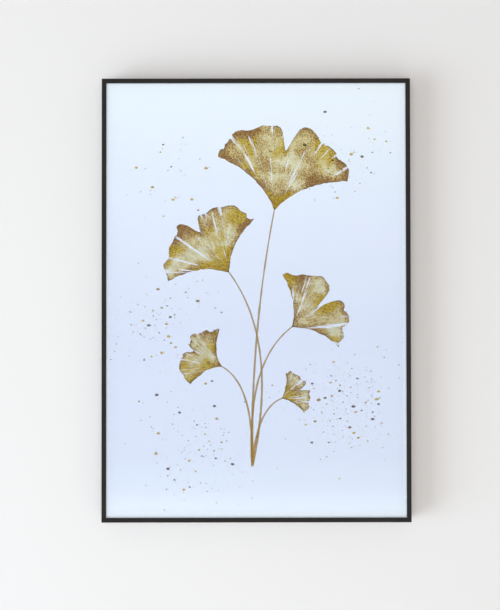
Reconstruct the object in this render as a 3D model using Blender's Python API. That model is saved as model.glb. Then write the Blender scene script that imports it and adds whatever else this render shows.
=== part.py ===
"""Framed picture in a slim black metal section frame, ready to hang.

Four mitred rails hold a pane, a printed sheet and a backing board in their front channel. Bowed
spring clips press that pack forwards. Angle plates with set screws join the rails in a second
channel at the rear, and a toothed hanger behind the top rail takes the nail.

Metres. X runs to the right as seen from the front, the front faces -Y and Z is up. The origin is
the middle notch of the hanger, at half the thickness of its plate.
"""

import math

import bmesh
import bpy

# The frame as a whole
WIDTH = 0.305
HEIGHT = 0.438
FIT = 0.0003  # the gap between pieces that touch on the real frame
MITRE_PULL = 0.0002  # each rail stops this far short of the mitre

# The section of a rail. An inset is measured inwards from the frame's outer side, and a depth
# backwards from its face.
SECTION_DEPTH = 0.020
FACE_WIDTH = 0.0046
FACE_THICK = 0.0014
SIDE_THICK = 0.0012
OUTER_ROUND = 0.0007
INNER_ROUND = 0.0004
FLOOR_DEPTH = 0.0130  # front of the web between the two channels
FLOOR_THICK = 0.0012
INNER_SIDE = 0.0106  # inset of the rear channel's inner side
REAR_LIP = 0.0030  # width of the two lips that narrow the rear channel's mouth
ROUND_STEPS = 4
SHARP_ANGLE = math.radians(35)

# The pack in the front channel
PACK_INSET = 0.0020
SHEET_INSET = 0.0023
GLAZING_THICK = 0.0020
SHEET_THICK = 0.0005
BOARD_THICK = 0.0040

# Spring clips: bowed strips, their places measured from the middle of a rail
CLIP_LENGTH = 0.040
CLIP_WIDTH = 0.012
CLIP_THICK = 0.0005
CLIP_INSET = 0.0020
CLIP_STEPS = 12
CLIP_PLACES = {"top": 0.075, "right": 0.115, "bottom": 0.075, "left": 0.115}

# Angle plates and their set screws in the rear channel
PLATE_ARM = 0.032
PLATE_THICK = 0.0016
PLATE_PLAY = 0.0004  # between the plate and each side of the channel
PLATE_CORNER = 0.0015
SCREW_RADIUS = 0.0018
SCREW_PLACES = (0.014, 0.026)  # along each arm, from the frame's outer corner
SCREW_REACH = 0.0196  # depth of a set screw's slotted end
SLOT_WIDTH = 0.0007
SLOT_DEPTH = 0.0008
ROUND_SIDES = 20

# The toothed hanger, its bar and its two screws
HANGER_WIDTH = 0.064
HANGER_THICK = 0.0012
HANGER_TOP_INSET = 0.0015
NOTCH_INSET = 0.016  # the notches lie this far below the top of the frame
TOOTH_DEPTH = 0.0018
TOOTH_PITCH = 0.0044
TOOTH_COUNT = 11  # notches, the middle one at X = 0
HANGER_CORNER = 0.0025
BAR_WIDTH = 0.056
HANGER_SCREW_PLACE = 0.023
HANGER_SCREW_RADIUS = 0.0015
HANGER_HEAD_RADIUS = 0.0029
HANGER_HEAD_THICK = 0.0012

# Rubber discs on the lower rear corners
BUMPER_RADIUS = 0.0046
BUMPER_THICK = 0.0030
BUMPER_ROUND = 0.0008

# Places that follow from the sizes above
FLOOR_BACK = FLOOR_DEPTH + FLOOR_THICK
LIP_FRONT = SECTION_DEPTH - SIDE_THICK
CHANNEL_MIDDLE = INNER_SIDE / 2
HANGER_FRONT = SECTION_DEPTH + FIT
FRONT_Y = -(HANGER_FRONT + HANGER_THICK / 2)
TOP_Z = NOTCH_INSET
MIDDLE_Z = TOP_Z - HEIGHT / 2
GLAZING_FRONT = FACE_THICK + FIT
SHEET_FRONT = GLAZING_FRONT + GLAZING_THICK + FIT
BOARD_FRONT = SHEET_FRONT + SHEET_THICK + FIT
BOARD_BACK = BOARD_FRONT + BOARD_THICK
PLATE_BACK = LIP_FRONT - FIT
PLATE_FRONT = PLATE_BACK - PLATE_THICK


def clear_scene():
    for obj in list(bpy.data.objects):
        bpy.data.objects.remove(obj, do_unlink=True)


def material(name, colour, roughness, metallic=0.0, transmission=0.0):
    made = bpy.data.materials.new(name)
    made.use_nodes = True
    shader = made.node_tree.nodes["Principled BSDF"]
    shader.inputs["Base Color"].default_value = (*colour, 1.0)
    shader.inputs["Roughness"].default_value = roughness
    shader.inputs["Metallic"].default_value = metallic
    shader.inputs["Transmission Weight"].default_value = transmission
    return made


def shaded(mesh):
    mesh.shade_smooth()
    mesh.set_sharp_from_angle(angle=SHARP_ANGLE)
    return mesh


def finished_mesh(bm, name):
    """The bmesh as a mesh, with its faces pointing out and its rounded edges smooth."""
    bmesh.ops.recalc_face_normals(bm, faces=bm.faces)
    mesh = bpy.data.meshes.new(name)
    bm.to_mesh(mesh)
    bm.free()
    return shaded(mesh)


def place(name, mesh, finish, parent=None, location=(0, 0, 0), turn=0.0):
    """An object at a place in its parent's space, turned about Y."""
    obj = bpy.data.objects.new(name, mesh)
    bpy.context.scene.collection.objects.link(obj)
    if mesh is not None:
        obj.active_material = finish
    obj.parent = parent
    obj.location = location
    obj.rotation_euler = (0, turn, 0)
    return obj


def prism(outline, start, end):
    """An outline of X and Z points, extruded along Y from start to end."""
    bm = bmesh.new()
    base = bm.faces.new([bm.verts.new((x, start, z)) for x, z in outline])
    grown = bmesh.ops.extrude_face_region(bm, geom=[base])
    moved = [part for part in grown["geom"] if isinstance(part, bmesh.types.BMVert)]
    bmesh.ops.translate(bm, verts=moved, vec=(0, end - start, 0))
    return bm


def rod(radius, start, end, x=0.0, z=0.0):
    """A round bar along Y."""
    turns = [2 * math.pi * step / ROUND_SIDES for step in range(ROUND_SIDES)]
    outline = [(x + radius * math.cos(t), z + radius * math.sin(t)) for t in turns]
    return prism(outline, start, end)


def box(x_size, z_size, start, end, x=0.0, z=0.0):
    left, right = x - x_size / 2, x + x_size / 2
    low, high = z - z_size / 2, z + z_size / 2
    return prism([(left, low), (right, low), (right, high), (left, high)], start, end)


def carved(bm, name, cutters):
    """The mesh of a shape after each cutter has been taken away from it."""
    mesh = finished_mesh(bm, name)
    body = place(name + "_blank", mesh, None)
    tools = []
    for cutter in cutters:
        tool = place(name + "_cutter", finished_mesh(cutter, name + "_cutter"), None)
        tool.hide_render = True
        tool.display_type = "WIRE"
        cut = body.modifiers.new("cut", "BOOLEAN")
        cut.operation = "DIFFERENCE"
        cut.object = tool
        tools.append(tool)
    graph = bpy.context.evaluated_depsgraph_get()
    result = bpy.data.meshes.new_from_object(body.evaluated_get(graph))
    for obj in [body, *tools]:
        bpy.data.objects.remove(obj, do_unlink=True)
    result.name = name
    return shaded(result)


def arc(centre, radius, first, last):
    """Points of a quarter round, from the first angle to the last, in degrees."""
    angles = [first + (last - first) * step / ROUND_STEPS for step in range(ROUND_STEPS + 1)]
    return [
        (
            centre[0] + radius * math.cos(math.radians(angle)),
            centre[1] + radius * math.sin(math.radians(angle)),
        )
        for angle in angles
    ]


def rail_section():
    """The section as insets and depths: face, front channel, web, rear channel, outer side."""
    return [
        (0.0, SECTION_DEPTH),
        *arc((OUTER_ROUND, OUTER_ROUND), OUTER_ROUND, 180, 270),
        *arc((FACE_WIDTH - INNER_ROUND, INNER_ROUND), INNER_ROUND, 270, 360),
        (FACE_WIDTH, FACE_THICK),
        (SIDE_THICK, FACE_THICK),
        (SIDE_THICK, FLOOR_DEPTH),
        (INNER_SIDE, FLOOR_DEPTH),
        (INNER_SIDE, SECTION_DEPTH),
        (INNER_SIDE - REAR_LIP, SECTION_DEPTH),
        (INNER_SIDE - REAR_LIP, LIP_FRONT),
        (INNER_SIDE - SIDE_THICK, LIP_FRONT),
        (INNER_SIDE - SIDE_THICK, FLOOR_BACK),
        (SIDE_THICK, FLOOR_BACK),
        (SIDE_THICK, LIP_FRONT),
        (REAR_LIP, LIP_FRONT),
        (REAR_LIP, SECTION_DEPTH),
    ]


def rail_mesh(length, name):
    """A rail along X with its outer side up. Every point's end lies on the 45 degree mitre."""
    bm = bmesh.new()
    ring = []
    for inset, depth in rail_section():
        end = length / 2 - inset - MITRE_PULL
        ring.append(bm.verts.new((-end, depth, -inset)))
    grown = bmesh.ops.extrude_face_region(bm, geom=[bm.faces.new(ring)])
    for part in grown["geom"]:
        if isinstance(part, bmesh.types.BMVert):
            part.co.x = -part.co.x
    return finished_mesh(bm, name)


def clip_mesh():
    """A bowed strip along X: its ends rest on the board and its middle on the web."""
    front = BOARD_BACK + FIT
    rise = FLOOR_DEPTH - FIT - CLIP_THICK - front
    places = [step / CLIP_STEPS for step in range(CLIP_STEPS + 1)]
    xs = [CLIP_LENGTH * (place - 0.5) for place in places]
    bows = [front + rise * (1 - math.cos(2 * math.pi * place)) / 2 for place in places]
    near = list(zip(xs, bows))
    far = [(x, depth + CLIP_THICK) for x, depth in reversed(near)]
    bm = bmesh.new()
    ring = [bm.verts.new((x, depth, -CLIP_INSET)) for x, depth in near + far]
    grown = bmesh.ops.extrude_face_region(bm, geom=[bm.faces.new(ring)])
    moved = [part for part in grown["geom"] if isinstance(part, bmesh.types.BMVert)]
    bmesh.ops.translate(bm, verts=moved, vec=(0, 0, -CLIP_WIDTH))
    return finished_mesh(bm, "spring_clip")


def screw_spots():
    """Where an angle plate's screws stand, as X and Z from the frame's outer corner."""
    along = [(place, -CHANNEL_MIDDLE) for place in SCREW_PLACES]
    down = [(CHANNEL_MIDDLE, -place) for place in SCREW_PLACES]
    return along + down


def plate_mesh():
    """An angle plate with one arm along +X and one along -Z, from the frame's outer corner."""
    near = SIDE_THICK + PLATE_PLAY
    far = INNER_SIDE - SIDE_THICK - PLATE_PLAY
    outline = [
        (near + PLATE_CORNER, -near),
        (PLATE_ARM, -near),
        (PLATE_ARM, -far),
        (far, -far),
        (far, -PLATE_ARM),
        (near, -PLATE_ARM),
        (near, -near - PLATE_CORNER),
    ]
    holes = [
        rod(SCREW_RADIUS + FIT, PLATE_FRONT - FIT, PLATE_BACK + FIT, x, z)
        for x, z in screw_spots()
    ]
    return carved(prism(outline, PLATE_FRONT, PLATE_BACK), "corner_plate", holes)


def set_screw_mesh():
    """A headless screw with a slot across its rear end. Its tip stands on the web."""
    body = rod(SCREW_RADIUS, FLOOR_BACK + FIT, SCREW_REACH)
    slot = box(4 * SCREW_RADIUS, SLOT_WIDTH, SCREW_REACH - SLOT_DEPTH, SCREW_REACH + FIT)
    return carved(body, "corner_screw", [slot])


def hanger_mesh():
    """The toothed plate, hung behind the top rail."""
    half = HANGER_WIDTH / 2
    top = -HANGER_TOP_INSET
    tips = -NOTCH_INSET - TOOTH_DEPTH
    outline = [
        (-half, tips),
        (-half, top - HANGER_CORNER),
        (-half + HANGER_CORNER, top),
        (half - HANGER_CORNER, top),
        (half, top - HANGER_CORNER),
        (half, tips),
    ]
    first = (TOOTH_COUNT - 1) / 2 * TOOTH_PITCH
    for notch in range(TOOTH_COUNT):
        x = first - notch * TOOTH_PITCH
        outline += [(x + TOOTH_PITCH / 2, tips), (x, -NOTCH_INSET)]
    outline.append((-first - TOOTH_PITCH / 2, tips))
    back = HANGER_FRONT + HANGER_THICK
    holes = [
        rod(HANGER_SCREW_RADIUS + FIT, HANGER_FRONT - FIT, back + FIT, x, -CHANNEL_MIDDLE)
        for x in (-HANGER_SCREW_PLACE, HANGER_SCREW_PLACE)
    ]
    return carved(prism(outline, HANGER_FRONT, back), "sawtooth_hanger", holes)


def bar_mesh():
    """The threaded bar in the rear channel of the top rail."""
    width = INNER_SIDE - 2 * (SIDE_THICK + PLATE_PLAY)
    body = box(BAR_WIDTH, width, PLATE_FRONT, PLATE_BACK, 0, -CHANNEL_MIDDLE)
    holes = [
        rod(HANGER_SCREW_RADIUS + FIT, PLATE_FRONT - FIT, PLATE_BACK + FIT, x, -CHANNEL_MIDDLE)
        for x in (-HANGER_SCREW_PLACE, HANGER_SCREW_PLACE)
    ]
    return carved(body, "hanger_bar", holes)


def turned(profile):
    """A closed shape of revolution about Y, from radii and depths that run down its outside."""
    bm = bmesh.new()
    chain = [bm.verts.new((radius, depth, 0)) for radius, depth in profile]
    edges = [bm.edges.new(pair) for pair in zip(chain, chain[1:])]
    bmesh.ops.spin(
        bm,
        geom=chain + edges,
        cent=(0, 0, 0),
        axis=(0, 1, 0),
        angle=2 * math.pi,
        steps=ROUND_SIDES,
        use_merge=True,
    )
    bmesh.ops.remove_doubles(bm, verts=bm.verts, dist=1e-6)
    return bm


def hanger_screw_mesh():
    """A low headed screw through the hanger into the bar."""
    shank_end = FLOOR_BACK + FIT
    head_front = HANGER_FRONT + HANGER_THICK + FIT
    head_back = head_front + HANGER_HEAD_THICK
    body = turned(
        [
            (0, shank_end),
            (HANGER_SCREW_RADIUS, shank_end),
            (HANGER_SCREW_RADIUS, head_front),
            (HANGER_HEAD_RADIUS, head_front),
            (HANGER_HEAD_RADIUS, head_back - HANGER_HEAD_THICK / 3),
            (HANGER_HEAD_RADIUS * 0.8, head_back),
            (0, head_back),
        ]
    )
    slot = box(4 * HANGER_HEAD_RADIUS, SLOT_WIDTH, head_back - SLOT_DEPTH, head_back + FIT)
    return carved(body, "hanger_screw", [slot])


def bumper_mesh():
    """A rubber disc with a rounded rim and a flat rear face."""
    front = SECTION_DEPTH + FIT
    back = front + BUMPER_THICK
    rim = arc((BUMPER_RADIUS - BUMPER_ROUND, back - BUMPER_ROUND), BUMPER_ROUND, 0, 90)
    return finished_mesh(turned([(0, front), (BUMPER_RADIUS, front), *rim, (0, back)]), "bumper")


def add_pack(middle):
    """The pane, the sheet and the board, as flat slabs about the middle of the frame."""
    slabs = (
        ("glazing", PACK_INSET, GLAZING_FRONT, GLAZING_THICK, GLASS),
        ("print_sheet", SHEET_INSET, SHEET_FRONT, SHEET_THICK, PAPER),
        ("backing_board", PACK_INSET, BOARD_FRONT, BOARD_THICK, BOARD),
    )
    for name, inset, front, thick, finish in slabs:
        slab = box(WIDTH - 2 * inset, HEIGHT - 2 * inset, front, front + thick)
        place(name, finished_mesh(slab, name), finish, middle)


def add_hanger(side):
    """The hanger's pieces, behind the middle of the top rail."""
    place("sawtooth_hanger", hanger_mesh(), BRASS, side)
    place("hanger_bar", bar_mesh(), ZINC, side)
    screw = hanger_screw_mesh()
    for end, x in (("left", -HANGER_SCREW_PLACE), ("right", HANGER_SCREW_PLACE)):
        place("hanger_screw_" + end, screw, ZINC, side, (x, 0, -CHANNEL_MIDDLE))


def add_corner(name, corner, plate, screw):
    place("corner_plate_" + name, plate, ZINC, corner)
    for number, (x, z) in enumerate(screw_spots(), 1):
        place(f"corner_screw_{name}_{number}", screw, ZINC, corner, (x, 0, z))


clear_scene()

BLACK = material("black_anodised", (0.034, 0.032, 0.028), 0.45, metallic=0.3)
GLASS = material("clear_glass", (1.0, 1.0, 1.0), 0.03, transmission=1.0)
PAPER = material("watercolour_paper", (0.80, 0.86, 0.96), 0.9)
BOARD = material("kraft_board", (0.40, 0.27, 0.16), 0.85)
SPRING = material("spring_steel", (0.16, 0.18, 0.21), 0.35, metallic=1.0)
ZINC = material("zinc_plate", (0.62, 0.64, 0.66), 0.35, metallic=1.0)
BRASS = material("brass_plate", (0.62, 0.45, 0.18), 0.35, metallic=1.0)
RUBBER = material("grey_rubber", (0.30, 0.30, 0.31), 0.7)

frame = place("frame_face", None, None, None, (0, FRONT_Y, MIDDLE_Z))
add_pack(frame)

# Each side has an empty at the middle of its outer edge, and each corner one at its outer point.
# A quarter turn about Y takes one to the next, clockwise as seen from the front.
QUARTER = math.pi / 2
SIDES = {
    "top": (0, WIDTH, (0, 0, HEIGHT / 2)),
    "right": (1, HEIGHT, (WIDTH / 2, 0, 0)),
    "bottom": (2, WIDTH, (0, 0, -HEIGHT / 2)),
    "left": (3, HEIGHT, (-WIDTH / 2, 0, 0)),
}
CORNERS = {
    "top_left": (0, (-WIDTH / 2, 0, HEIGHT / 2)),
    "top_right": (1, (WIDTH / 2, 0, HEIGHT / 2)),
    "bottom_right": (2, (WIDTH / 2, 0, -HEIGHT / 2)),
    "bottom_left": (3, (-WIDTH / 2, 0, -HEIGHT / 2)),
}

clip = clip_mesh()
for name, (turns, length, spot) in SIDES.items():
    side = place("side_" + name, None, None, frame, spot, turns * QUARTER)
    place("rail_" + name, rail_mesh(length, "rail_" + name), BLACK, side)
    for number, x in enumerate((-CLIP_PLACES[name], CLIP_PLACES[name]), 1):
        place(f"spring_clip_{name}_{number}", clip, SPRING, side, (x, 0, 0))
    if name == "top":
        add_hanger(side)

plate = plate_mesh()
set_screw = set_screw_mesh()
bumper = bumper_mesh()
for name, (turns, spot) in CORNERS.items():
    corner = place("corner_" + name, None, None, frame, spot, turns * QUARTER)
    add_corner(name, corner, plate, set_screw)
    if name.startswith("bottom"):
        centre = (CHANNEL_MIDDLE, 0, -CHANNEL_MIDDLE)
        place("wall_bumper_" + name.split("_")[1], bumper, RUBBER, corner, centre)
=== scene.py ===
# %% [markdown]
# # A framed picture, dressed for its portrait
#
# The object is a slim black metal frame with a gold botanical watercolour behind glass. The packed
# model already holds every piece at its real size: four mitred rails, the glass, the sheet, the
# board and the hardware behind. This lesson gives those pieces their finish. It loads the model,
# measures it, and keeps the sizes of its rails.

# %% Load the packed frame
import math
from types import SimpleNamespace

import bmesh
import bpy
from mathutils import Matrix, Vector


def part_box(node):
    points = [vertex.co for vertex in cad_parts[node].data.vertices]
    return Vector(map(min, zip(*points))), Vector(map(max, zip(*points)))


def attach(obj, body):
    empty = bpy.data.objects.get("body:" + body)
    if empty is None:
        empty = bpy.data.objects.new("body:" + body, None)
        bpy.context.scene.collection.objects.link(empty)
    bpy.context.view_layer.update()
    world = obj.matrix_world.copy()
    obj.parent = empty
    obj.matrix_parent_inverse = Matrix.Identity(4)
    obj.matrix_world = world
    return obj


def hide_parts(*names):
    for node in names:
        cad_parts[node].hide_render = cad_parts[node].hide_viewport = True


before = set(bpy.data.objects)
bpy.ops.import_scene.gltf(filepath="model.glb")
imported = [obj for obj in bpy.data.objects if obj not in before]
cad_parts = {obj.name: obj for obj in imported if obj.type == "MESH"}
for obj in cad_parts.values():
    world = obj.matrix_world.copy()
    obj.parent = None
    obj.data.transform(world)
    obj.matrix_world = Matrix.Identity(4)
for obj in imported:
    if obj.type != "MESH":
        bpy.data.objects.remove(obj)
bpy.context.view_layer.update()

MM = 0.001
rail_low, rail_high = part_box("rail_left")
FACE_Y = rail_low.y
BACK_Y = rail_high.y
LOW_Z, HIGH_Z = rail_low.z, rail_high.z
HALF_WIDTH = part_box("rail_right")[1].x
HALF_HEIGHT = (HIGH_Z - LOW_Z) / 2
MIDDLE_Z = (HIGH_Z + LOW_Z) / 2
WALL_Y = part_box("wall_bumper_left")[1].y

# %% [markdown]
# ## The camera
#
# The photograph was taken almost square on, from a little below the middle of the picture, so the
# top of the frame is a hair narrower than its bottom. A camera can be aimed with a Track To
# constraint, or turned by hand. Here its tilt is known from how much narrower the top is, so the
# turn is written down, and the camera is moved back along its own line of sight from the point
# of the frame that lies in the middle of the photograph.

# %% Place the camera
PHOTO_HEIGHT = 610
LENS = 60.0
SENSOR = 36.0
PIXEL = 0.9855 * MM  # one pixel of the photograph, on the plane of the frame's face
TILT = math.radians(0.88)
ROLL = math.radians(-0.08)
# the middle of the photograph, in pixels right of and above the middle of the frame
AIM_RIGHT, AIM_UP = -6.2, -5.3
AIM = Vector((AIM_RIGHT * PIXEL, FACE_Y, MIDDLE_Z + AIM_UP * PIXEL))

camera_data = bpy.data.cameras.new("camera")
camera_data.lens = LENS
camera_data.sensor_width = SENSOR
camera_data.clip_start = 0.02
camera = bpy.data.objects.new("camera", camera_data)
bpy.context.scene.collection.objects.link(camera)
bpy.context.scene.camera = camera
distance = PIXEL * PHOTO_HEIGHT * LENS / SENSOR
sight = Vector((0, math.cos(TILT), math.sin(TILT)))
camera.matrix_world = (
    Matrix.Translation(AIM - distance * sight)
    @ Matrix.Rotation(math.radians(90) + TILT, 4, "X")
    @ Matrix.Rotation(ROLL, 4, "Z")
)
print("camera distance in m:", round(distance, 3))

# %% [markdown]
# ## The stage
#
# A framed picture looks right when it hangs close to something: the soft shadow that it throws
# sideways shows how deep it is. So a plain pale wall stands just behind the bumpers, and a plain
# pale floor lies well below. The wall is see-through from behind, which a material does with
# Backfacing, so that the hardware can be looked at too, and it hides nothing from the light behind.
# Three far walls of the same kind are the background for the other looks.

# %% Helpers for colours and plain materials
def linear(red, green, blue):
    """Screen values from 0 to 255 as the linear colour that a shader takes."""
    parts = [channel / 255 for channel in (red, green, blue)]
    return tuple(
        part / 12.92 if part <= 0.04045 else ((part + 0.055) / 1.055) ** 2.4 for part in parts
    )


def new_material(name):
    """A material with its node tree, and the Principled shader in it."""
    made = bpy.data.materials.new(name)
    made.use_nodes = True
    return made, made.node_tree, made.node_tree.nodes["Principled BSDF"]


def set_inputs(node, **values):
    """Sets sockets by name, with underscores for the spaces."""
    for label, value in values.items():
        node.inputs[label.replace("_", " ")].default_value = value


print("a screen grey of 128 as linear light:", round(linear(128, 128, 128)[0], 3))

# %% The finishes of the stage
floor_finish, _, floor_shader = new_material("stage_floor")
set_inputs(floor_shader, Base_Color=(*linear(228, 227, 225), 1), Roughness=0.8)
wall_finish, wall_tree, wall_shader = new_material("stage_wall")
set_inputs(wall_shader, Base_Color=(*linear(243, 243, 243), 1), Roughness=0.9)
wall_shader.inputs["Specular IOR Level"].default_value = 0.2
behind = wall_tree.nodes.new("ShaderNodeNewGeometry")
clear = wall_tree.nodes.new("ShaderNodeBsdfTransparent")
either = wall_tree.nodes.new("ShaderNodeMixShader")
wall_tree.links.new(behind.outputs["Backfacing"], either.inputs[0])
wall_tree.links.new(wall_shader.outputs[0], either.inputs[1])
wall_tree.links.new(clear.outputs[0], either.inputs[2])
wall_tree.links.new(either.outputs[0], wall_tree.nodes["Material Output"].inputs["Surface"])
print("stage finishes:", floor_finish.name, wall_finish.name)

# %% Floor and walls
FLOOR_Z = -2.8
STAGE_SIZE = 9.0
WALL_GAP = 0.2 * MM
UPRIGHT = Matrix.Rotation(math.radians(90), 4, "X")


def stage_plane(name, location, turn, finish):
    """A square of the stage, turned and put in its place."""
    bm = bmesh.new()
    bmesh.ops.create_grid(bm, x_segments=1, y_segments=1, size=STAGE_SIZE / 2)
    bmesh.ops.transform(bm, verts=bm.verts, matrix=Matrix.Translation(location) @ turn)
    mesh = bpy.data.meshes.new(name)
    bm.to_mesh(mesh)
    bm.free()
    plane = bpy.data.objects.new(name, mesh)
    bpy.context.scene.collection.objects.link(plane)
    plane.data.materials.append(finish)
    return plane


stage_plane("floor", (0, 0, FLOOR_Z), Matrix.Identity(4), floor_finish)
wall_place = (0, WALL_Y + WALL_GAP, FLOOR_Z + STAGE_SIZE / 2)
walls = [stage_plane("wall", wall_place, UPRIGHT, wall_finish)]
for name, turn in (("far_wall", 180), ("left_wall", 90), ("right_wall", -90)):
    around = Matrix.Rotation(math.radians(turn), 4, "Z")
    place = around @ Vector((0, STAGE_SIZE / 2, FLOOR_Z + STAGE_SIZE / 2))
    walls.append(stage_plane(name, place, around @ UPRIGHT, wall_finish))
for plane in walls:
    plane.visible_shadow = False
    plane.visible_diffuse = False
    plane.visible_glossy = False
print("walls:", len(walls), "gap behind the bumpers in mm:", round(WALL_GAP / MM, 2))

# %% [markdown]
# ## The light
#
# The shadow in the photograph lies to the right of the frame and above it, close and soft, with
# warm edges. One wide lamp from the left and a little below makes such a shadow, and a second one
# from the front and a pale sky fill the rest. A third lamp stands behind, for the hardware. No
# lamp shows in a reflection, because round patches of light on the glass would hide the sheet. The
# sky is brighter behind the wall, since the bare metal there is nothing but what it mirrors.

# %% Sky
world = bpy.data.worlds.new("pale_sky")
bpy.context.scene.world = world
world.use_nodes = True
sky_tree = world.node_tree
sky = sky_tree.nodes["Background"]
sky.inputs["Color"].default_value = (1.0, 0.965, 0.935, 1)
way = sky_tree.nodes.new("ShaderNodeTexCoord")
way_parts = sky_tree.nodes.new("ShaderNodeSeparateXYZ")
sky_level = sky_tree.nodes.new("ShaderNodeMapRange")
set_inputs(sky_level, From_Min=-0.05, From_Max=0.35, To_Min=0.285, To_Max=0.95)
sky_tree.links.new(way.outputs["Generated"], way_parts.inputs[0])
sky_tree.links.new(way_parts.outputs["Y"], sky_level.inputs["Value"])
sky_tree.links.new(sky_level.outputs["Result"], sky.inputs["Strength"])
bpy.context.scene.view_settings.view_transform = "Standard"
strengths = [round(sky_level.inputs[label].default_value, 3) for label in ("To Min", "To Max")]
print("sky strength in front and behind:", strengths)


# %% Lamps
def lamp(name, spot, aim, size, power, colour):
    """A round area lamp of a size in metres and a power in watts, aimed at a place."""
    data = bpy.data.lights.new(name, "AREA")
    data.shape = "DISK"
    data.size = size
    data.energy = power
    data.color = colour
    made = bpy.data.objects.new(name, data)
    bpy.context.scene.collection.objects.link(made)
    made.location = spot
    made.visible_glossy = False
    made.rotation_euler = (Vector(aim) - Vector(spot)).to_track_quat("-Z", "Y").to_euler()
    return made


MIDDLE = (0, 0, MIDDLE_Z)
WINDOW_SPOT, WINDOW_SIZE, WINDOW_POWER = (-2.95, -1.48, -1.20), 2.7, 89
WINDOW_COLOUR = (0.80, 0.91, 1.0)
window = lamp("window", WINDOW_SPOT, MIDDLE, WINDOW_SIZE, WINDOW_POWER, WINDOW_COLOUR)
lamp("room_light", (-0.1, -3.0, -0.4), MIDDLE, 2.2, 40, (1.0, 0.945, 0.91))
lamp("back_light", (-0.9, 1.1, 1.7), MIDDLE, 1.2, 22, (1.0, 0.98, 0.95))

# %% [markdown]
# ## Sums made of nodes
#
# The patterns below are worked out by Math nodes, and a long formula soon becomes a tangle of
# links. Nodes can be placed one by one, or a small class can stand for a socket and take part in
# sums as a number does. The second way keeps each formula on a line that can be read.

# %% A socket that can be added and multiplied
def connect(tree, item, entry):
    """Feeds an input with another node's number, or with a plain one."""
    if isinstance(item, Signal):
        tree.links.new(item.socket, entry)
    else:
        entry.default_value = item


class Signal:
    """One number of a node tree."""

    def __init__(self, tree, socket):
        self.tree = tree
        self.socket = socket

    def maths(self, operation, *others):
        node = self.tree.nodes.new("ShaderNodeMath")
        node.operation = operation
        for entry, item in zip(node.inputs, (self, *others)):
            connect(self.tree, item, entry)
        return Signal(self.tree, node.outputs[0])

    def __add__(self, other):
        return self.maths("ADD", other)

    def __sub__(self, other):
        return self.maths("SUBTRACT", other)

    def __mul__(self, other):
        return self.maths("MULTIPLY", other)

    def __truediv__(self, other):
        return self.maths("DIVIDE", other)

    def least(self, other):
        return self.maths("MINIMUM", other)

    def most(self, other):
        return self.maths("MAXIMUM", other)

    def size(self):
        return self.maths("ABSOLUTE")

    def inverse(self):
        """One where this is nought, and nought where it is one."""
        return self * -1.0 + 1.0

    def rise(self, low, high):
        """A smooth step: nought up to low, one from high on."""
        node = self.tree.nodes.new("ShaderNodeMapRange")
        node.interpolation_type = "SMOOTHSTEP"
        connect(self.tree, self, node.inputs["Value"])
        connect(self.tree, low, node.inputs["From Min"])
        connect(self.tree, high, node.inputs["From Max"])
        return Signal(self.tree, node.outputs["Result"])


print("a socket now has:", [name for name in vars(Signal) if not name.startswith("_")])

# %% [markdown]
# ## Layers and groups
#
# A real finish is made of layers: a base colour, clouds in it, and grain or wear on top. In nodes
# each layer is a texture or a mask that drives a mix of two colours. The nodes could be wired anew
# in every material. Here small helpers place one node each and hand on its socket, and a pattern
# that several materials share becomes a group with named inputs and outputs.

# %% Helpers for places and textures
def noise(tree, place, scale, detail=3.0, roughness=0.5):
    node = tree.nodes.new("ShaderNodeTexNoise")
    set_inputs(node, Detail=detail, Roughness=roughness)
    connect(tree, scale, node.inputs["Scale"])
    tree.links.new(place, node.inputs["Vector"])
    return Signal(tree, node.outputs["Fac"])


def vector(tree, *parts):
    node = tree.nodes.new("ShaderNodeCombineXYZ")
    for entry, part in zip(node.inputs, parts):
        connect(tree, part, entry)
    return node.outputs[0]


def parts_of(tree, place):
    """The X, Y and Z of a place."""
    node = tree.nodes.new("ShaderNodeSeparateXYZ")
    tree.links.new(place, node.inputs[0])
    return [Signal(tree, part) for part in node.outputs]


def mapped(tree, place, location=(0, 0, 0), rotation=(0, 0, 0), scale=(1, 1, 1), kind="POINT"):
    """A place shifted, turned and stretched by a Mapping node."""
    node = tree.nodes.new("ShaderNodeMapping")
    node.vector_type = kind
    set_inputs(node, Location=location, Rotation=rotation, Scale=scale)
    tree.links.new(place, node.inputs["Vector"])
    return node.outputs[0]


# %% Helpers for colours
MIX_A, MIX_B, MIX_RESULT = 6, 7, 2  # the colour sockets of a Mix node


def mix(tree, under, over, amount, blend="MIX"):
    """One colour laid over another. Each colour is a socket or a plain red, green and blue."""
    node = tree.nodes.new("ShaderNodeMix")
    node.data_type = "RGBA"
    node.blend_type = blend
    connect(tree, amount, node.inputs[0])
    for index, colour in ((MIX_A, under), (MIX_B, over)):
        if isinstance(colour, tuple):
            node.inputs[index].default_value = (*colour, 1)
        else:
            tree.links.new(colour, node.inputs[index])
    return node.outputs[MIX_RESULT]


def ramp(tree, amount, stops):
    """A colour ramp from pairs of a place and a colour."""
    node = tree.nodes.new("ShaderNodeValToRGB")
    tree.links.new(amount.socket, node.inputs[0])
    points = node.color_ramp.elements
    while len(points) < len(stops):
        points.new(0.5)
    for point, (place, colour) in zip(points, stops):
        point.position = place
        point.color = (*colour, 1)
    return node.outputs["Color"]


# %% Helpers for groups
def group(name, inputs, outputs):
    """A shader node group with named sockets, and its entry and exit nodes."""
    tree = bpy.data.node_groups.new(name, "ShaderNodeTree")
    for label, value in inputs.items():
        kind = "NodeSocketVector" if isinstance(value, tuple) else "NodeSocketFloat"
        tree.interface.new_socket(label, in_out="INPUT", socket_type=kind).default_value = value
    for label in outputs:
        tree.interface.new_socket(label, in_out="OUTPUT", socket_type="NodeSocketFloat")
    return tree, tree.nodes.new("NodeGroupInput"), tree.nodes.new("NodeGroupOutput")


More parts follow.
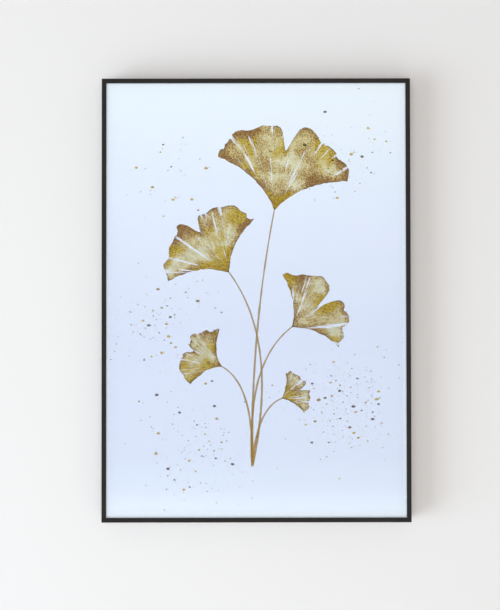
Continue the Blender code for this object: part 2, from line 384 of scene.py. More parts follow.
def put_out(tree, leave, **results):
    """Links numbers to the outputs of a group that have their names."""
    for label, result in results.items():
        tree.links.new(result.socket, leave.inputs[label])


def use(tree, kind, place, **values):
    """A group placed in a material, as a function from output names to numbers."""
    node = tree.nodes.new("ShaderNodeGroup")
    node.node_tree = kind
    tree.links.new(place, node.inputs["Place"])
    for label, value in values.items():
        connect(tree, value, node.inputs[label])
    return lambda label: Signal(tree, node.outputs[label])


# %% Helpers for the two ends of a material
def object_place(tree):
    """The place on the object in metres, which no view and no modifier changes."""
    return tree.nodes.new("ShaderNodeTexCoord").outputs["Object"]


def bump(tree, height, depth, strength=1.0):
    node = tree.nodes.new("ShaderNodeBump")
    set_inputs(node, Strength=strength, Distance=depth)
    tree.links.new(height.socket, node.inputs["Height"])
    return node.outputs["Normal"]


def dress(tree, shader, colour, rough, height, depth):
    """Links a colour, a roughness and a bump of some depth to the shader."""
    tree.links.new(colour, shader.inputs["Base Color"])
    tree.links.new(rough.socket, shader.inputs["Roughness"])
    tree.links.new(bump(tree, height, depth), shader.inputs["Normal"])


# %% [markdown]
# ## Metal that has been rolled, drawn and handled
#
# A metal surface shows three things at different scales: slow clouds from plating or anodising,
# fine grain, and long draw lines that follow the bar. They could be painted on an image. A group
# of noise textures does the same at any size, and each metal below places it with its own values.

# %% The group for metal surfaces
def make_metal_group():
    tree, entry, leave = group(
        "metal_surface",
        {"Place": (0.0, 0.0, 0.0), "Grain": 900.0, "Stretch": (1.0, 1.0, 1.0)},
        ("Cloud", "Grain", "Lines"),
    )
    place = entry.outputs["Place"]
    cloud = noise(tree, place, 26.0, 4.0)
    grain = noise(tree, place, Signal(tree, entry.outputs["Grain"]), 3.0, 0.6)
    drawn = tree.nodes.new("ShaderNodeVectorMath")
    drawn.operation = "MULTIPLY"
    tree.links.new(place, drawn.inputs[0])
    tree.links.new(entry.outputs["Stretch"], drawn.inputs[1])
    lines = noise(tree, drawn.outputs[0], 1.0, 5.0, 0.65)
    put_out(tree, leave, Cloud=cloud, Grain=grain, Lines=lines)
    return tree


METAL = make_metal_group()
print(METAL.name, "nodes:", len(METAL.nodes))

# %% [markdown]
# ## Black anodised rails
#
# The frame is an extruded aluminium section, dyed black. Its face looks charcoal because a fine
# matte texture spreads the room's light, and its outer edges are a shade lighter where hands and
# cloths have rubbed. Edge wear can be read from the mesh, but here the frame is a plain box whose
# edges are known, so the distance to the nearest outer edge is worked out from the place itself.

# %% The black finish
DRAWN_ACROSS = (9.0, 1500.0, 1500.0)
DRAWN_UP = (1500.0, 1500.0, 9.0)
WORN_FROM, WORN_TO = 0.15 * MM, 0.95 * MM


def worn_edge(tree, place):
    """One on the frame's outer edges, nought a millimetre away from them."""
    x, y, z = parts_of(tree, place)
    side = x.size() * -1.0 + HALF_WIDTH
    end = (z - MIDDLE_Z).size() * -1.0 + HALF_HEIGHT
    front = y - FACE_Y
    near = side.least(end).most(front.least(front * -1.0 + (BACK_Y - FACE_Y)))
    return near.rise(WORN_FROM, WORN_TO).inverse()


def make_black(name, stretch):
    made, tree, shader = new_material(name)
    place = object_place(tree)
    metal = use(tree, METAL, place, Grain=2300.0, Stretch=stretch)
    patchy = metal("Cloud").rise(0.42, 0.66) * metal("Grain").rise(0.3, 0.6)
    tone = metal("Cloud") * 0.5 + metal("Grain") * 0.3 + metal("Lines") * 0.2
    dyed = ramp(tree, tone, [(0.3, linear(33, 32, 31)), (0.7, linear(46, 44, 42))])
    colour = mix(tree, dyed, linear(96, 92, 86), worn_edge(tree, place) * patchy * 0.5)
    rough = metal("Cloud") * 0.16 + metal("Grain") * 0.14 + 0.30
    height = metal("Grain") * 0.7 + metal("Lines") * 0.3
    dress(tree, shader, colour, rough, height, 0.012 * MM)
    shader.inputs["Specular IOR Level"].default_value = 0.42
    return made


BLACK_ACROSS = make_black("black_anodised_across", DRAWN_ACROSS)
BLACK_UP = make_black("black_anodised_up", DRAWN_UP)
print("black finishes:", BLACK_ACROSS.name, BLACK_UP.name)

# %% [markdown]
# ## Bright metals behind the frame
#
# The angle plates and screws are zinc plated, which is a pale grey with faint straw and blue
# clouds. The spring clips are blued steel, and the hanger is brass plated. They are the same kind
# of surface, so one function makes all three from two tints, a roughness and a direction.

# %% Zinc, spring steel and brass
def make_bright(name, dark, light, rough, stretch, depth):
    made, tree, shader = new_material(name)
    metal = use(tree, METAL, object_place(tree), Grain=1900.0, Stretch=stretch)
    tone = metal("Cloud") * 0.65 + metal("Lines") * 0.35
    colour = ramp(tree, tone, [(0.34, dark), (0.64, light)])
    blur = metal("Lines") * 0.20 + metal("Cloud") * 0.12 + (rough - 0.16)
    height = metal("Lines") * 0.7 + metal("Grain") * 0.3
    dress(tree, shader, colour, blur, height, depth)
    shader.inputs["Metallic"].default_value = 1.0
    return made


ZINC = make_bright(
    "zinc_plate", linear(168, 172, 170), linear(214, 212, 200), 0.36, (700, 700, 700), 0.02 * MM
)
SPRING = make_bright(
    "spring_steel", linear(66, 74, 92), linear(118, 120, 128), 0.30, (60, 900, 900), 0.012 * MM
)
BRASS = make_bright(
    "brass_plate", linear(196, 158, 90), linear(216, 182, 112), 0.27, (60, 1900, 1900), 0.006 * MM
)
print("bright metals:", [made.name for made in (ZINC, SPRING, BRASS)])

# %% [markdown]
# ## Paper and board
#
# Watercolour paper has a tooth: shallow pits about a millimetre across, which the felts press in
# as the sheet is made, and where pigment settles as dark specks. Board is fibrous too, only finer
# and flatter. One group gives the tooth, the pits and the loose fibres, and each sheet takes as
# much of them as it needs.

# %% The group for fibrous sheets
PIT_SPACING = 2.1  # in millimetres


def make_sheet_group():
    """Place is in millimetres."""
    tree, entry, leave = group(
        "paper_tooth", {"Place": (0.0, 0.0, 0.0)}, ("Tooth", "Fibre", "Cloud", "Pits")
    )
    place = entry.outputs["Place"]
    tooth = noise(tree, place, 0.85, 4.0, 0.55)
    one_way = mapped(tree, place, rotation=(0, 0, 0.5), scale=(0.35, 2.6, 2.6))
    other_way = mapped(tree, place, rotation=(0, 0, -0.9), scale=(2.4, 0.3, 2.4))
    fibre = noise(tree, one_way, 1.0, 2.0).most(noise(tree, other_way, 1.0, 2.0))
    cloud = noise(tree, place, 0.012, 3.0)
    dots = tree.nodes.new("ShaderNodeTexVoronoi")
    dots.voronoi_dimensions = "2D"
    dots.inputs["Scale"].default_value = 1 / PIT_SPACING
    tree.links.new(mapped(tree, place, rotation=(0, 0, 0.3)), dots.inputs["Vector"])
    pits = Signal(tree, dots.outputs["Distance"]).rise(0.20, 0.42).inverse()
    put_out(tree, leave, Tooth=tooth, Fibre=fibre, Cloud=cloud, Pits=pits)
    return tree


def sheet_place(tree):
    """Millimetres on the sheet from the middle of the frame: X to the right and Y up."""
    x, y, z = parts_of(tree, object_place(tree))
    return vector(tree, x / MM, (z - MIDDLE_Z) / MM, y / MM)


TOOTH = make_sheet_group()
print(TOOTH.name, "nodes:", len(TOOTH.nodes))

# %% [markdown]
# ## One painted leaf
#
# The picture is a spray of fan-shaped ginkgo leaves in gold and brown watercolour. It could be an
# image, but then its sharpness would end at the image's pixels. Instead a group works out one leaf
# from its outline: how far a point lies inside the fan, in millimetres. A fan is easiest to write
# down by angle and distance, so those come first. A sine or two makes its edge wavy, a narrow dip
# makes the cleft in its middle, and noise makes the small splits and the wander of the brush.

# %% A point in the fan
LEAF_INPUTS = {
    "Place": (0.0, 0.0, 0.0), "Size": 60.0, "Spread": 1.15, "Notch": 0.3,
    "Bend": 0.0, "Stalk": 80.0, "Seed": 1.0,
}


def point_in_fan(tree, entry):
    """The group's inputs, and a point's distance and angle from the joint, as shares of the fan."""
    given = {socket.name.lower(): Signal(tree, socket) for socket in entry.outputs if socket.name}
    leaf = SimpleNamespace(**given)
    leaf.across, leaf.up, _ = parts_of(tree, leaf.place.socket)
    leaf.own = vector(tree, leaf.across, leaf.up, leaf.seed * 37.0)
    leaf.reach = (leaf.across * leaf.across + leaf.up * leaf.up).maths("SQRT") / leaf.size
    leaf.angle = leaf.across.maths("ARCTAN2", leaf.up)
    leaf.share = leaf.angle / leaf.spread
    return leaf


print("a leaf takes:", list(LEAF_INPUTS))


# %% The outline
def depth_inside(tree, leaf):
    """How far inside the outline a point lies, in millimetres."""
    waves = (leaf.angle * 8.0 + leaf.seed).maths("SINE") * 0.03
    ripples = (leaf.angle * 21.0 + leaf.seed * 2.3).maths("SINE") * 0.016
    cleft = (leaf.share * leaf.share * -160.0).maths("EXPONENT") * leaf.notch
    by_angle = vector(tree, leaf.angle * 5.0, leaf.seed, 0.0)
    splits = noise(tree, by_angle, 1.0, 2.0).rise(0.54, 0.68) * 0.06
    outer = waves + ripples - cleft - splits - leaf.share * leaf.share * 0.12 + 1.0
    flank = leaf.reach.maths("POWER", 0.8) * 0.55 + 0.45
    side = (leaf.spread * flank - leaf.angle.size()) * leaf.reach * leaf.size
    wander = (noise(tree, leaf.own, 0.16, 4.0) - 0.5) * 3.0
    return ((outer - leaf.reach) * leaf.size).least(side) + wander


# %% [markdown]
# ## What the wet paint does
#
# From the distance inside the outline follow the wash, the dark rim where wet paint dries last,
# and the broad band where it pooled. Noise gives clouds and patches of purer gold. The angle gives
# the veins that spread from the stalk and fork halfway out, and the dry streaks that the brush
# left bare. The stalk is a bent line below the joint, and each point's distance from it is divided
# by the length of the slope, so that the line keeps its width where it leans.

# %% The washes
def washes(tree, leaf):
    """Masks of the wash, its rim, the pooled band, the gold patches and the clouds."""
    inside = depth_inside(tree, leaf)
    ragged = noise(tree, leaf.own, 0.09, 4.0, 0.6) * 0.10
    patches = vector(tree, leaf.across, leaf.up, leaf.seed * -21.0)
    return {
        "Wash": inside.rise(-0.15, 0.35),
        "Rim": inside.rise(0.4, 1.7).inverse() * noise(tree, leaf.own, 0.07, 3.0).rise(0.40, 0.58),
        "Pool": (inside / leaf.size + ragged).rise(0.05, 0.19).inverse(),
        "Gold": noise(tree, patches, 0.034, 3.0, 0.5).rise(0.50, 0.60),
        "Cloud": noise(tree, leaf.own, 0.045, 4.0, 0.55),
    }


# %% Veins, bare streaks and the stalk
VEINS = 9.0


def fine_lines(tree, leaf):
    """Masks of the veins and of the streaks that stayed bare."""
    fan = leaf.share * VEINS + (noise(tree, leaf.own, 0.05, 2.0) - 0.5) * 1.2
    apart = leaf.spread / VEINS * leaf.reach * leaf.size
    main = (fan.maths("FRACT") - 0.5).size() * apart
    fork = ((fan * 2.0).maths("FRACT") - 0.5).size() * apart * 0.5
    deep = main.rise(0.10, 0.55).inverse() * 0.8
    fine = fork.rise(0.08, 0.42).inverse() * leaf.reach.rise(0.35, 0.62) * 0.5
    vein = deep.most(fine) * noise(tree, leaf.own, 0.11, 2.0).rise(0.36, 0.6)
    along = vector(tree, leaf.angle * 11.0, leaf.reach * 1.3, leaf.seed * 5.0)
    bare = noise(tree, along, 1.0, 3.0, 0.6).rise(0.585, 0.64) * leaf.reach.rise(0.16, 0.34)
    return {"Vein": vein, "Bare": bare}


def stalk_line(tree, leaf):
    """A mask of the stalk, which widens a little towards its foot."""
    below = leaf.up * -1.0
    slope = leaf.bend * leaf.up * 2.0
    lean = (slope * slope + 1.0).maths("SQRT")
    off = (leaf.across - leaf.bend * leaf.up * leaf.up).size() / lean
    half = below / leaf.stalk * 0.55 + 0.75 + (noise(tree, leaf.own, 0.12, 2.0) - 0.5) * 0.9
    line = (half - off).rise(-0.1, 0.35) * below.rise(-4.0, 1.0)
    return {"Stalk": line * (below - leaf.stalk).rise(-1.5, 0.5).inverse()}


# %% The group for a leaf
LEAF_OUTPUTS = ("Wash", "Rim", "Pool", "Vein", "Bare", "Stalk", "Gold", "Cloud")


def make_leaf_group():
    """Place is in millimetres from the joint of leaf and stalk, with the fan opening along Y."""
    tree, entry, leave = group("painted_leaf", LEAF_INPUTS, LEAF_OUTPUTS)
    leaf = point_in_fan(tree, entry)
    put_out(
        tree, leave, **washes(tree, leaf), **fine_lines(tree, leaf), **stalk_line(tree, leaf)
    )
    return tree


LEAF = make_leaf_group()
print(LEAF.name, "nodes:", len(LEAF.nodes))

# %% [markdown]
# ## Drops flicked from a brush
#
# A loaded brush tapped over the sheet leaves drops in all sizes, most of them tiny. A Voronoi
# texture scatters points evenly at random, and each of its cells has a random colour. One channel
# of that colour decides whether the cell has a drop, and another how big it is.

# %% The group for drops
def make_drop_group():
    """Place and sizes are in millimetres, and Share is the part of the cells with a drop."""
    tree, entry, leave = group(
        "brush_drops",
        {"Place": (0.0, 0.0, 0.0), "Cell": 8.0, "Radius": 0.6, "Share": 0.3},
        ("Drop", "Pick"),
    )
    cell = Signal(tree, entry.outputs["Cell"])
    cells = tree.nodes.new("ShaderNodeTexVoronoi")
    cells.voronoi_dimensions = "2D"
    tree.links.new(entry.outputs["Place"], cells.inputs["Vector"])
    connect(tree, cell.maths("POWER", -1.0), cells.inputs["Scale"])
    chance = tree.nodes.new("ShaderNodeSeparateColor")
    tree.links.new(cells.outputs["Color"], chance.inputs[0])
    draw = Signal(tree, chance.outputs[0])
    bigness = draw * draw * 0.65 + 0.35
    radius = Signal(tree, entry.outputs["Radius"]) * bigness
    edge = (noise(tree, entry.outputs["Place"], 1.1, 2.0) - 0.5) * radius
    away = Signal(tree, cells.outputs["Distance"]) * cell + edge
    share = Signal(tree, entry.outputs["Share"])
    here = share.maths("GREATER_THAN", Signal(tree, chance.outputs[1]))
    drop = away.rise(radius * 0.72, radius).inverse() * here
    put_out(tree, leave, Drop=drop, Pick=Signal(tree, chance.outputs[2]))
    return tree


DROPS = make_drop_group()
print(DROPS.name, "nodes:", len(DROPS.nodes))

# %% [markdown]
# ## Composing the sheet
#
# Watercolour is transparent, so each leaf multiplies what lies under it, and two washes that
# cross are darker than either. All the stalks are gathered at one point near the foot of the
# sheet: each leaf's bend follows from where its joint and that point are. The bare paper has
# painted light and shade: it is lighter at the top and bottom and shaded in the middle, and close
# to the frame it has a thin white edge with painted light over the shade of the frame's lip.

# %% Where the leaves stand
GATHER = (-4.0, -164.0)
# joint right and up in millimetres, turn to the left in degrees, size, spread, notch and seed
LEAVES = (
    ((18.0, 88.0), -11.0, 88.0, 1.05, 0.34, 1.0),
    ((-26.0, 26.0), 36.0, 68.0, 1.12, 0.26, 2.7),
    ((34.0, -28.0), -52.0, 58.0, 1.10, 0.38, 4.1),
    ((-34.0, -66.0), 62.0, 42.0, 1.08, 0.22, 5.6),
    ((24.0, -98.0), -66.0, 30.0, 1.02, 0.30, 7.9),
)
# middle right and up in millimetres, reach, and how many of the cells there have a drop
SPATTERS = (
    ((84.0, 138.0), 36.0, 0.42),
    ((-94.0, -26.0), 38.0, 0.48),
    ((88.0, -104.0), 44.0, 0.60),
    ((-58.0, -148.0), 44.0, 0.52),
    ((-86.0, 124.0), 30.0, 0.30),
)


def stalk_of(joint, turn):
    """The bend and the length of a stalk that ends at the gathering point."""
    down = Vector((GATHER[0] - joint[0], GATHER[1] - joint[1]))
    down.rotate(Matrix.Rotation(-math.radians(turn), 2))
    return down.x / down.y**2, -down.y


print("stalks in mm:", [round(stalk_of(joint, turn)[1]) for joint, turn, *_ in LEAVES])

# %% Paints and papers
STRAW = linear(240, 228, 180)
OCHRE = linear(226, 200, 134)
GOLD = linear(212, 176, 40)
TAN = linear(204, 170, 106)
BROWN = linear(170, 128, 74)
UMBER = linear(88, 58, 28)
SPECK = linear(122, 86, 44)
STALK = linear(158, 128, 48)
# the paper's thin white edge, also painted light where the frame's lip shades the sheet
EDGE_WHITE_AND_LIGHT = linear(246, 255, 255)
TOOTH_BLUE = linear(206, 216, 232)
WASH_STOPS = [(0.16, BROWN), (0.38, TAN), (0.58, OCHRE), (0.80, STRAW)]
# cell and largest radius in millimetres, share, lighter dye, and the angle of the throw
DROP_SIZES = ((3.2, 0.80, 0.45, BROWN, 0.9), (8.5, 2.4, 0.80, GOLD, -0.5))
# painted light and shade up the sheet, each at its share of this height in millimetres
PAPER_HEIGHT = 440.0
PAPER_SHADE_STOPS = [
    (0.02, linear(237, 249, 254)),
    (0.08, linear(223, 235, 247)),
    (0.15, linear(218, 229, 244)),
    (0.43, linear(218, 229, 245)),
    (0.71, linear(229, 240, 251)),
    (0.97, linear(240, 252, 255)),
]
# where the visible sheet ends, in millimetres from its middle: close to its edges the paper has a
# thin white edge and painted light over the shade of the frame's lip
MARGIN_X, MARGIN_UP = 147.4, 213.6
print("paints in a wash:", len(WASH_STOPS), "tints of the paper:", len(PAPER_SHADE_STOPS))


# %% One leaf laid on the sheet
def paint_leaf(tree, place, paper, under, spot):
    """Lays one leaf over the colour so far."""
    joint, turn, size, spread, notch, seed = spot
    bend, length = stalk_of(joint, turn)
    own = mapped(tree, place, (*joint, 0), (0, 0, math.radians(turn)), kind="TEXTURE")
    leaf = use(
        tree, LEAF, own, Size=size, Spread=spread, Notch=notch, Bend=bend, Stalk=length, Seed=seed
    )
    dye = mix(tree, STALK, UMBER, paper("Pits") * 0.4)
    stalk = mix(tree, under, dye, leaf("Stalk") * (paper("Tooth") * 0.3 + 0.7), "DARKEN")
    pool = leaf("Pool")
    tone = leaf("Cloud") * 1.9 - pool * 0.34 - 0.34
    paint = ramp(tree, tone, WASH_STOPS)
    paint = mix(tree, paint, GOLD, leaf("Gold") * 0.8)
    grainy = (leaf("Cloud") * -1.0 + pool * 0.25 + 1.0).rise(0.36, 0.64) * 0.70 + 0.14
    paint = mix(tree, paint, SPECK, paper("Pits") * grainy)
    paint = mix(tree, paint, UMBER, leaf("Vein") * 0.45)
    paint = mix(tree, paint, UMBER, leaf("Rim") * 0.75)
    cover = leaf("Wash") * (leaf("Bare") * -0.85 + 1.0)
    return mix(tree, stalk, paint, cover, "MULTIPLY")


# %% Drops and bare paper
def spatter_share(tree, place):
    """How many cells have a drop, from the nearest of the spatters."""
    right, up, _ = parts_of(tree, place)
    total = None
    for (x, y), reach, share in SPATTERS:
        away = (right - x) * (right - x) + (up - y) * (up - y)
        here = (away / -(reach * reach)).maths("EXPONENT") * share
        total = here if total is None else total.most(here)
    return total


def flick_drops(tree, place, colour):
    """Lays the drops of both sizes over the colour so far."""
    share = spatter_share(tree, place)
    for cell, radius, more, light, thrown in DROP_SIZES:
        flung = mapped(tree, place, rotation=(0, 0, thrown), scale=(1.0, 1.5, 1.0))
        drops = use(tree, DROPS, flung, Cell=cell, Radius=radius, Share=share * more)
        dye = mix(tree, UMBER, light, drops("Pick").rise(0.3, 0.7))
        colour = mix(tree, colour, dye, drops("Drop") * 0.88, "MULTIPLY")
    return colour


def bare_paper(tree, place, paper):
    """The bare paper: painted light and shade by height, the tooth, and a white edge with painted
    light.
    """
    right, up, _ = parts_of(tree, place)
    # painted light and shade: lighter at the top and bottom of the sheet, shaded in the middle
    painted_shade_tint = ramp(tree, up / PAPER_HEIGHT + 0.5, PAPER_SHADE_STOPS)
    colour = mix(tree, painted_shade_tint, TOOTH_BLUE, paper("Tooth").rise(0.5, 0.8) * 0.12)
    # a thin white edge, and painted light over the lip's shade a few millimetres in from the edges
    sides = (right.size() - MARGIN_X).rise(-4.0, 0.8) * 0.6
    ends = (up.size() - MARGIN_UP).rise(-5.0, 0.5) * 0.9
    return mix(tree, colour, EDGE_WHITE_AND_LIGHT, sides.most(ends))


# %% The painted sheet
def make_painted_paper():
    made, tree, shader = new_material("painted_paper")
    place = sheet_place(tree)
    paper = use(tree, TOOTH, place)
    colour = bare_paper(tree, place, paper)
    for spot in LEAVES:
        colour = paint_leaf(tree, place, paper, colour, spot)
    colour = flick_drops(tree, place, colour)
    rough = paper("Fibre") * 0.1 + 0.84
    height = paper("Tooth") * 0.8 + paper("Fibre") * 0.2
    dress(tree, shader, colour, rough, height, 0.10 * MM)
    shader.inputs["Specular IOR Level"].default_value = 0.25
    return made


PAINTED = make_painted_paper()
print(PAINTED.name, "nodes:", len(PAINTED.node_tree.nodes))

# %% [markdown]
# ## Kraft board, rubber and glass
#
# The board behind the sheet has a brown kraft face with pale and dark fibres. The bumpers are a
# soft grey rubber with a moulded, dusty skin. The glass is the coated kind that hardly mirrors the
# room. It could be made by a low index, but then the fine specks of the paint behind it blur. A low
# Alpha lets most light straight through instead, and the rest meets real, faintly uneven glass.

# %% The three materials
GLASS_SHARE = 0.22  # of the light meets the glass, and the rest goes straight through


def make_kraft():
    made, tree, shader = new_material("kraft_board")
    paper = use(tree, TOOTH, sheet_place(tree))
    tone = paper("Tooth") * 0.35 + paper("Fibre") * 0.5 + paper("Cloud") * 0.15
    dark, middle, pale = linear(134, 102, 70), linear(170, 134, 94), linear(196, 164, 122)
    colour = ramp(tree, tone, [(0.36, dark), (0.52, middle), (0.68, pale)])
    colour = mix(tree, colour, linear(104, 76, 50), paper("Fibre").rise(0.66, 0.74) * 0.5)
    dress(tree, shader, colour, paper("Tooth") * 0.2 + 0.72, paper("Fibre"), 0.06 * MM)
    return made


def make_rubber():
    made, tree, shader = new_material("grey_rubber")
    place = object_place(tree)
    dust = noise(tree, place, 420.0, 4.0, 0.6)
    grain = noise(tree, place, 3200.0, 2.0)
    colour = ramp(tree, dust, [(0.35, linear(98, 98, 100)), (0.7, linear(142, 140, 138))])
    dress(tree, shader, colour, dust * 0.2 + 0.55, grain, 0.02 * MM)
    return made


def make_glass():
    made, tree, shader = new_material("clear_glass")
    set_inputs(shader, Roughness=0.02, IOR=1.45, Transmission_Weight=1.0, Alpha=GLASS_SHARE)
    shader.inputs["Base Color"].default_value = (1, 1, 1, 1)
    ripple = noise(tree, object_place(tree), 9.0, 1.0)
    tree.links.new(bump(tree, ripple, 0.02 * MM, 0.15), shader.inputs["Normal"])
    return made


KRAFT = make_kraft()
RUBBER = make_rubber()
GLASS = make_glass()
print("made:", KRAFT.name, RUBBER.name, GLASS.name, "with alpha", GLASS_SHARE)

# %% [markdown]
# ## Softer edges on the solids
#
# The packed solids have the right shapes, but their edges are knife sharp, and real edges never
# are: a sawn, pressed or moulded edge has a tiny round that catches the light. Such a piece could
# be modelled again from nothing. It is quicker and exact to copy the solid's mesh, weld it,
# dissolve the flat triangles into whole faces, and bevel every sharp edge. Smooth shading would
# then bend the light on the large faces near each bevel, so a Weighted Normal modifier lets the
# large faces decide and keeps them flat.

# %% Copy a solid and soften it
WELD = 1e-6
SMOOTH_UP_TO = math.radians(50)
SHARP_FROM = math.radians(40)


def finish_piece(bm, name, finish, node):
    """Turns a bmesh into a piece that rides on the frame and stands for a node."""
    mesh = bpy.data.meshes.new(name)
    bm.to_mesh(mesh)
    bm.free()
    mesh.shade_smooth()
    mesh.set_sharp_from_angle(angle=SMOOTH_UP_TO)
    mesh.materials.append(finish)
    piece = bpy.data.objects.new(name, mesh)
    bpy.context.scene.collection.objects.link(piece)
    even = piece.modifiers.new("even_shading", "WEIGHTED_NORMAL")
    even.keep_sharp = True
    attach(piece, "root")
    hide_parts(node)
    return piece


def copied(node):
    """A welded copy of a node's mesh, with its flat faces whole again."""
    bm = bmesh.new()
    bm.from_mesh(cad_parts[node].data)
    bmesh.ops.remove_doubles(bm, verts=bm.verts, dist=WELD)
    bmesh.ops.dissolve_limit(
        bm, angle_limit=math.radians(1), verts=bm.verts, edges=bm.edges, delimit={"NORMAL"}
    )
    return bm


def soften(bm, width):
    """Bevels every sharp edge."""
    sharp = [edge for edge in bm.edges if edge.calc_face_angle(0) > SHARP_FROM]
    bmesh.ops.bevel(
        bm, geom=sharp, offset=width, offset_type="OFFSET", segments=2, profile=0.5,
        affect="EDGES", material=-1, clamp_overlap=True,
    )
    return bm


sample = copied("rail_top")
print("rail_top:", len(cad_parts["rail_top"].data.polygons), "triangles are", end=" ")
print(len(sample.faces), "whole faces")
sample.free()

# %% [markdown]
# ## The four rails
#
# Each rail is cut at 45 degrees, and on a well made frame the mitres close to a hairline. The
# solids leave a clear gap there, so the copies are drawn out along their length until only the
# hairline is left. The bevel then rounds the long edges and the mitres alike.

# %% Rails
MITRE_CLOSE = 0.17 * MM
RAIL_EDGE = 0.10 * MM
X_AXIS, Z_AXIS = 0, 2
RAILS = (
    ("rail_top", BLACK_ACROSS, X_AXIS),
    ("rail_bottom", BLACK_ACROSS, X_AXIS),
    ("rail_left", BLACK_UP, Z_AXIS),
    ("rail_right", BLACK_UP, Z_AXIS),
)
for node, finish, axis in RAILS:
    bm = copied(node)
    centre = (0.0, 0.0, MIDDLE_Z)[axis]
    for vert in bm.verts:
        vert.co[axis] += math.copysign(MITRE_CLOSE, vert.co[axis] - centre)
    soften(bm, RAIL_EDGE)
    rail = finish_piece(bm, node + "_finish", finish, node)
    print(rail.name, "faces:", len(rail.data.polygons))

# %% [markdown]
# ## The painted sheet
#
# A sheet of watercolour paper is never quite flat: the washes make it cockle by a fraction of a
# millimetre. It could be a plain slab with a bump, but a real wave also moves the light across the
# sheet. A grid is given a few slow waves that die out towards the edges, which the frame holds
# flat, and the grid is then extruded to the paper's thickness. Its own map keeps nearly the whole
# square for the painted face.

# %% The waves of the sheet
sheet_low, sheet_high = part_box("print_sheet")
SHEET_WIDTH = sheet_high.x - sheet_low.x
SHEET_HEIGHT = sheet_high.z - sheet_low.z
WAVE = 0.11 * MM


def wave_at(x, z):
    """How far the paper comes forward at a place, nought at its edges."""
    u, v = x / SHEET_WIDTH, z / SHEET_HEIGHT
    still = math.cos(math.pi * u) * math.cos(math.pi * v)
    swell = math.sin(5.1 * u + 2.2 * v + 0.6) + 0.7 * math.sin(3.4 * v - 4.2 * u + 1.9)
    return WAVE * still * swell / 1.7


print("sheet in mm:", round(SHEET_WIDTH / MM, 1), round(SHEET_HEIGHT / MM, 1))

# %% The sheet and its map
COLUMNS, ROWS = 50, 72
PAPER_BACK = 0.12 * MM  # from the solid's face to the paper's, which leaves room for the waves
PAPER_THICK = 0.3 * MM
FRONT_SHARE = 0.94  # of the map's width, kept for the painted face
MAP_EDGE = 0.005

bm = bmesh.new()
bmesh.ops.create_grid(bm, x_segments=COLUMNS, y_segments=ROWS, size=0.5)
bmesh.ops.scale(bm, verts=bm.verts, vec=(SHEET_WIDTH, SHEET_HEIGHT, 1))
bmesh.ops.rotate(bm, verts=bm.verts, matrix=Matrix.Rotation(math.radians(90), 3, "X"))
for vert in bm.verts:
    vert.co.y = sheet_low.y + PAPER_BACK - wave_at(vert.co.x, vert.co.z)
bmesh.ops.translate(bm, verts=bm.verts, vec=(0, 0, MIDDLE_Z))
grown = bmesh.ops.extrude_face_region(bm, geom=list(bm.faces))
back_verts = [part for part in grown["geom"] if isinstance(part, bmesh.types.BMVert)]
bmesh.ops.translate(bm, verts=back_verts, vec=(0, PAPER_THICK, 0))
bmesh.ops.recalc_face_normals(bm, faces=bm.faces)
layer = bm.loops.layers.uv.new("OFBake")
for face in bm.faces:
    painted = face.normal.y < -0.5
    start, end = (MAP_EDGE, FRONT_SHARE - MAP_EDGE) if painted else (FRONT_SHARE, 1 - MAP_EDGE)
    for loop in face.loops:
        u = (loop.vert.co.x - sheet_low.x) / SHEET_WIDTH
        v = (loop.vert.co.z - sheet_low.z) / SHEET_HEIGHT
        loop[layer].uv = (start + (end - start) * u, MAP_EDGE + (1 - 2 * MAP_EDGE) * v)
sheet = finish_piece(bm, "painted_sheet", PAINTED, "print_sheet")
print(sheet.name, "faces:", len(sheet.data.polygons))

# %% [markdown]
# ## The window light on the sheet
#
# The grazing window light draws the frame's shadow on the wall, which the photograph shows. It
# would also draw one along the left of the sheet, which the photograph doesn't show: there the
# sheet is bright right up to the frame. One lamp can't do both, but light linking can say what a
# lamp shines on and what blocks it. So the window leaves out the sheet, and a second lamp further
# forward lights only the sheet, with nothing but the sheet itself in its way. It is bluer too,
# because bright white paper holds brighteners that turn unseen light into blue.

# %% Link the two window lamps
def link_list(name, piece, state):
    """A collection for light linking, with one piece that is included or excluded."""
    made = bpy.data.collections.new(name)
    made.objects.link(piece)
    made.collection_objects[0].light_linking.link_state = state
    return made


SHEET_SPOT, SHEET_POWER, SHEET_COLOUR = (-1.4, -2.75, -0.9), 47, (0.67, 0.765, 1.0)
sheet_window = lamp("sheet_window", SHEET_SPOT, MIDDLE, WINDOW_SIZE, SHEET_POWER, SHEET_COLOUR)
only_sheet = link_list("only_sheet", sheet, "INCLUDE")
window.light_linking.receiver_collection = link_list("all_but_sheet", sheet, "EXCLUDE")
sheet_window.light_linking.receiver_collection = only_sheet
sheet_window.light_linking.blocker_collection = only_sheet
print("linked lamps:", window.name, sheet_window.name)

# %% [markdown]
# ## Glass, board and steel pieces
#
# These are all solids with the right shape, so they take the soft edge and their material. The
# glass has ground edges, the board a pressed one, and the punched steel only a broken one. The
# board is lit through the see-through wall, so its brown glow is kept off the wall's front.

# %% Glass and board
GLASS_EDGE, BOARD_EDGE = 0.25 * MM, 0.3 * MM
pane = soften(copied("glazing"), GLASS_EDGE)
glass = finish_piece(pane, "glass_pane", GLASS, "glazing")
glass.visible_shadow = False
glass.visible_diffuse = False
stiff = soften(copied("backing_board"), BOARD_EDGE)
board = finish_piece(stiff, "kraft_backing", KRAFT, "backing_board")
board.visible_diffuse = False
for piece in (glass, board):
    print(piece.name, "faces:", len(piece.data.polygons))

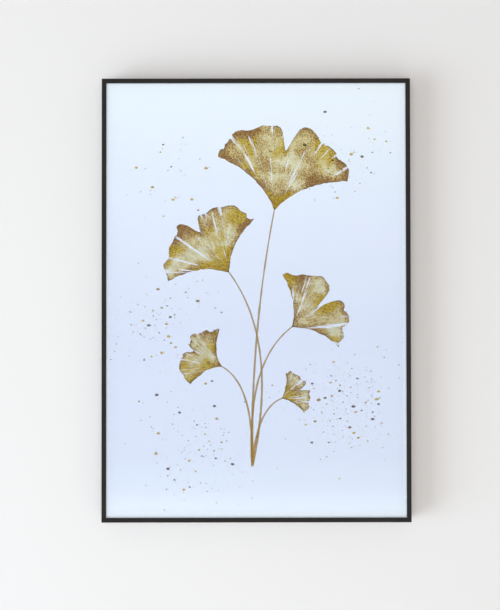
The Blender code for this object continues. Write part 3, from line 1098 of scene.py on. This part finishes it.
# %% Hardware
# how the nodes' names begin, finish, slot, and the width of the soft edge in millimetres
HARDWARE = (
    ("corner_plate", ZINC, "zinc_plate", 0.12),
    ("corner_screw", ZINC, "zinc_plate", 0.08),
    ("hanger_bar", ZINC, "zinc_plate", 0.12),
    ("hanger_screw", ZINC, "zinc_plate", 0.08),
    ("spring_clip", SPRING, "spring_steel", 0.08),
    ("sawtooth_hanger", BRASS, "brass_plate", 0.10),
)
for start, finish, slot, width in HARDWARE:
    chosen = [node for node in sorted(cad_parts) if node.startswith(start)]
    for node in chosen:
        finish_piece(soften(copied(node), width * MM), node + "_finish", finish, node)
    print(start, "pieces:", len(chosen))

# %% [markdown]
# ## Rubber bumpers
#
# A bumper is a small moulded disc with a domed shoulder and a flat, slightly sunken face. It could
# be lathed from a profile. Here a circle is extruded and inset step by step, as it would be by
# hand in Edit Mode, and it reaches forward to stand on the rail, where its adhesive holds it.

# %% Bumpers
BUMPER_SIDES = 48
SHOULDER, RIM, SUNK = 1.1 * MM, 0.9 * MM, 0.15 * MM
ADHESIVE = 0.02 * MM


def make_bumper(node):
    """A disc that stands on the rail's back, with a round shoulder and a sunken face."""
    low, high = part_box(node)
    centre = (low + high) / 2
    radius = (high.x - low.x) / 2
    front = BACK_Y + ADHESIVE
    bm = bmesh.new()
    bmesh.ops.create_circle(bm, cap_ends=True, segments=BUMPER_SIDES, radius=radius)
    bmesh.ops.rotate(bm, verts=bm.verts, matrix=Matrix.Rotation(math.radians(-90), 3, "X"))
    bmesh.ops.translate(bm, verts=bm.verts, vec=(centre.x, front, centre.z))
    grown = bmesh.ops.extrude_face_region(bm, geom=bm.faces[:])
    top = [part for part in grown["geom"] if isinstance(part, bmesh.types.BMVert)]
    bmesh.ops.translate(bm, verts=top, vec=(0, high.y - front, 0))
    bmesh.ops.recalc_face_normals(bm, faces=bm.faces)
    caps = [edge for edge in bm.edges if edge.calc_face_angle(0) > math.radians(60)]
    rear = [edge for edge in caps if edge.verts[0].co.y > centre.y]
    bmesh.ops.bevel(
        bm, geom=rear, offset=SHOULDER, offset_type="OFFSET", segments=6, profile=0.5,
        affect="EDGES", material=-1,
    )
    crown = max(bm.faces, key=lambda part: part.calc_center_median().y * 10 + part.calc_area())
    bmesh.ops.inset_region(bm, faces=[crown], thickness=RIM)
    bmesh.ops.translate(bm, verts=crown.verts, vec=(0, -SUNK, 0))
    return finish_piece(bm, node + "_finish", RUBBER, node)


for side in ("left", "right"):
    bumper = make_bumper("wall_bumper_" + side)
    print(bumper.name, "faces:", len(bumper.data.polygons))

# %% [markdown]
# ## The end
